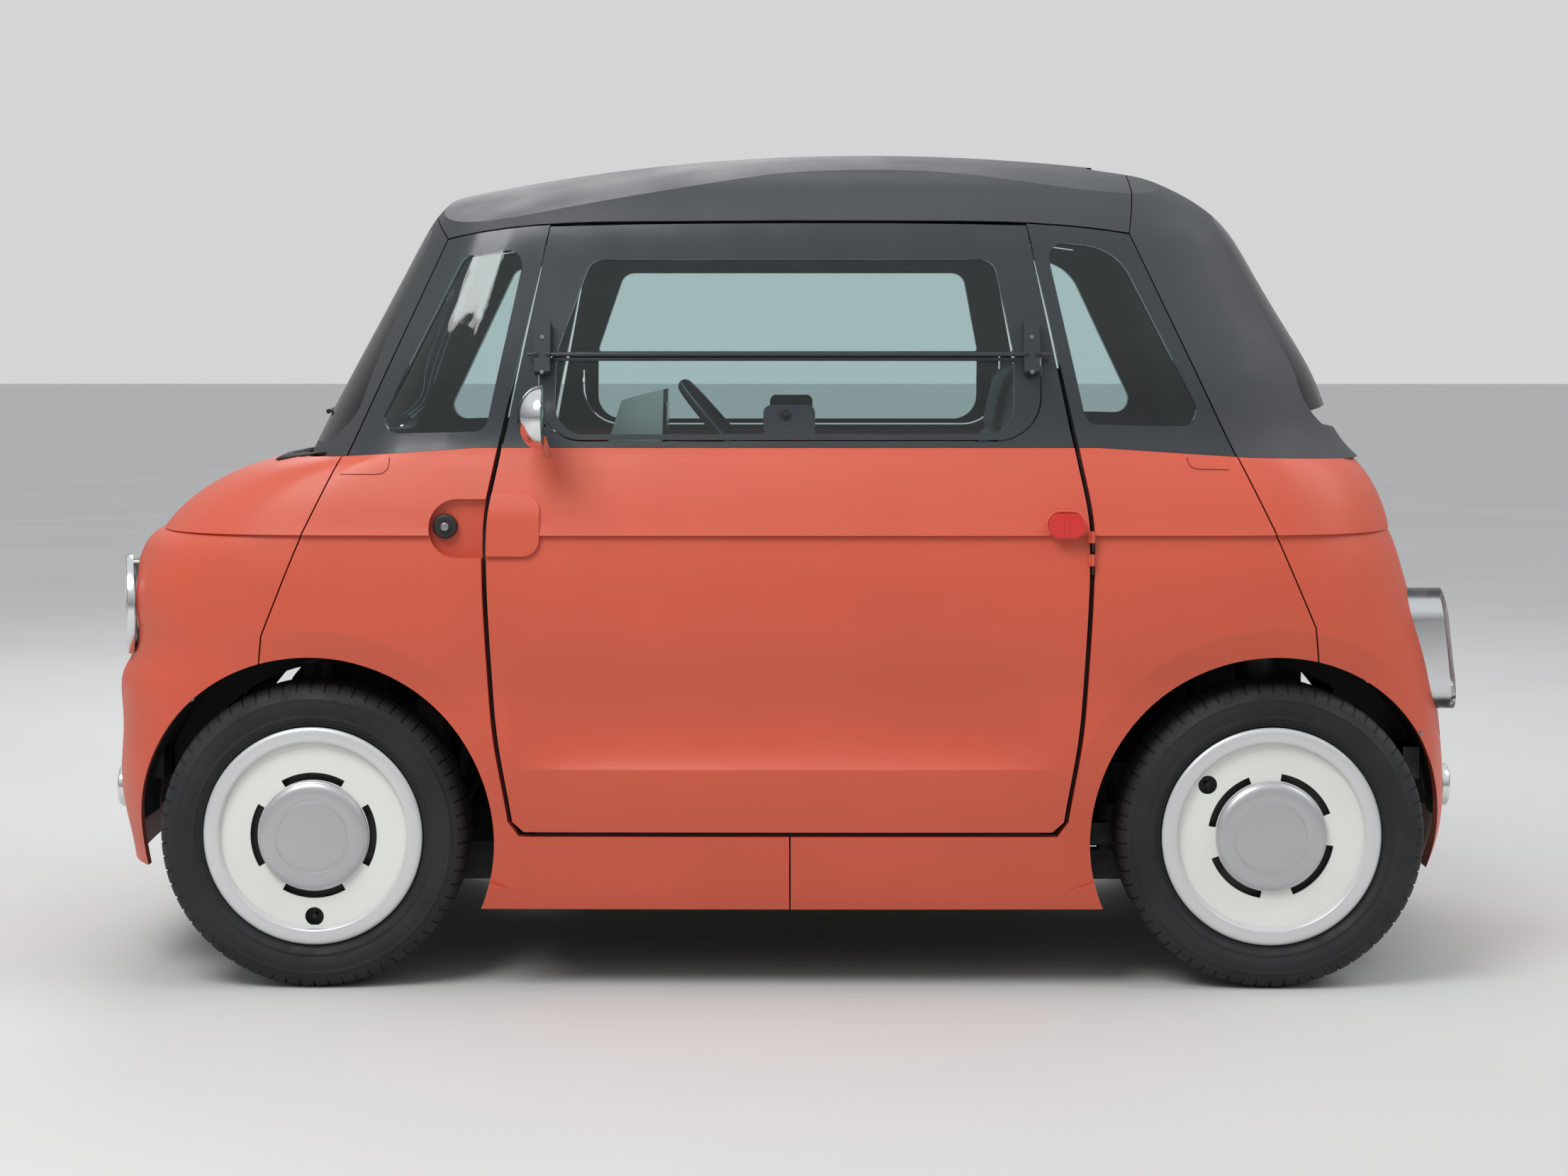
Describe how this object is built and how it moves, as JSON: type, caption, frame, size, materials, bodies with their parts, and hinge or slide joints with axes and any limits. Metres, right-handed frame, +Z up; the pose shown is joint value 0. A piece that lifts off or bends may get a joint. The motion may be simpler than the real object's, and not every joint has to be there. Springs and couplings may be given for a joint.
{
  "type": "two-seat microcar",
  "caption": "Small closed electric two-seater car with hinged doors, steered front wheels, fold-up door windows and a rear luggage deck.",
  "frame": {"origin": "on the ground under the middle of the bounding box", "axes": "+X forward towards the nose, +Y to the car's left, +Z up"},
  "size_m": [2.5307, 1.5886, 1.53],
  "materials": {
    "coral": "satin",
    "roof_grey": "satin",
    "border_grey": "gloss",
    "clear_glass": "gloss",
    "dark_glass": "gloss",
    "lamp_lens": "gloss",
    "tub_black": "matte",
    "frame_black": "satin",
    "battery_case": "satin",
    "cast_alloy": "satin",
    "dash_grey": "matte",
    "pod_cream": "matte",
    "seat_fabric": "matte",
    "wheel_black": "matte",
    "knuckle_iron": "satin",
    "tyre": "matte",
    "rim_steel": "satin",
    "cover_cream": "satin",
    "chrome_trim": "polished",
    "red_lens": "gloss",
    "amber_lens": "gloss"
  },
  "bodies": {
    "body": {"front_fascia": "coral", "rear_fascia": "coral", "side_panel_front_left": "coral", "side_panel_rear_left": "coral", "side_panel_front_right": "coral", "side_panel_rear_right": "coral", "roof_panel": "roof_grey", "rear_shell": "roof_grey", "windscreen_frame": "roof_grey", "windscreen": "clear_glass", "rear_window": "dark_glass", "quarter_frames": "border_grey", "quarter_windows": "clear_glass", "headlamps": "lamp_lens", "tail_lamps": "lamp_lens", "marker_lamps": "lamp_lens", "floor_pan": "tub_black", "chassis_frame": "frame_black", "safety_frame": "frame_black", "battery_pack": "battery_case", "drive_unit": "cast_alloy", "dashboard": "dash_grey", "instrument_pod": "pod_cream", "steering_column": "frame_black", "seat_frames": "frame_black", "seat_cushions": "seat_fabric", "front_suspension": "frame_black", "rear_suspension": "frame_black", "lock_buttons": "wheel_black"},
    "steering_wheel": {"steering_wheel": "wheel_black"},
    "knuckle_left": {"knuckle_left": "knuckle_iron"},
    "knuckle_right": {"knuckle_right": "knuckle_iron"},
    "wheel_front_left": {"tyre_front_left": "tyre", "rim_front_left": "rim_steel", "wheel_cover_front_left": "cover_cream"},
    "wheel_front_right": {"tyre_front_right": "tyre", "rim_front_right": "rim_steel", "wheel_cover_front_right": "cover_cream"},
    "wheel_rear_left": {"tyre_rear_left": "tyre", "rim_rear_left": "rim_steel", "wheel_cover_rear_left": "cover_cream"},
    "wheel_rear_right": {"tyre_rear_right": "tyre", "rim_rear_right": "rim_steel", "wheel_cover_rear_right": "cover_cream"},
    "door_left": {"door_panel_left": "coral", "door_frame_left": "border_grey", "door_glass_left": "clear_glass", "window_flap_left": "border_grey", "mirror_left": "chrome_trim", "door_reflector_left": "red_lens"},
    "door_right": {"door_panel_right": "coral", "door_frame_right": "border_grey", "door_glass_right": "clear_glass", "window_flap_right": "border_grey", "mirror_right": "chrome_trim", "door_reflector_right": "amber_lens"}
  },
  "joints": [
    {"name": "steering", "type": "hinge", "parent": "body", "child": "steering_wheel", "pos_m": [0.07, 0.3, 0.95], "axis": [-0.76, 0, 0.65], "range_deg": [-512, 512]},
    {"name": "steer_left", "type": "hinge", "parent": "body", "child": "knuckle_left", "pos_m": [0.8475, 0.50997, 0.2785], "axis": [0, -0.19, 0.9818], "range_deg": [-32, 32]},
    {"name": "steer_right", "type": "hinge", "parent": "body", "child": "knuckle_right", "pos_m": [0.8475, -0.50997, 0.2785], "axis": [0, 0.19, 0.9818], "range_deg": [-32, 32]},
    {"name": "spin_front_left", "type": "hinge", "parent": "knuckle_left", "child": "wheel_front_left", "pos_m": [0.8475, 0.575, 0.2785], "axis": [0, 1, 0], "continuous": true},
    {"name": "spin_front_right", "type": "hinge", "parent": "knuckle_right", "child": "wheel_front_right", "pos_m": [0.8475, -0.575, 0.2785], "axis": [0, 1, 0], "continuous": true},
    {"name": "spin_rear_left", "type": "hinge", "parent": "body", "child": "wheel_rear_left", "pos_m": [-0.8825, 0.575, 0.2785], "axis": [0, 1, 0], "continuous": true},
    {"name": "spin_rear_right", "type": "hinge", "parent": "body", "child": "wheel_rear_right", "pos_m": [-0.8825, -0.575, 0.2785], "axis": [0, 1, 0], "continuous": true},
    {"name": "door_left", "type": "hinge", "parent": "body", "child": "door_left", "pos_m": [-0.552, 0.694, 0.6], "axis": [0, 0, 1], "range_deg": [0, 68]},
    {"name": "door_right", "type": "hinge", "parent": "body", "child": "door_right", "pos_m": [0.531, -0.694, 0.6], "axis": [0, 0, 1], "range_deg": [0, 68]}
  ],
  "couplings": [
    {"joint": "steer_left", "follows": "steering", "ratio": 0.0625},
    {"joint": "steer_right", "follows": "steering", "ratio": 0.0625}
  ]
}
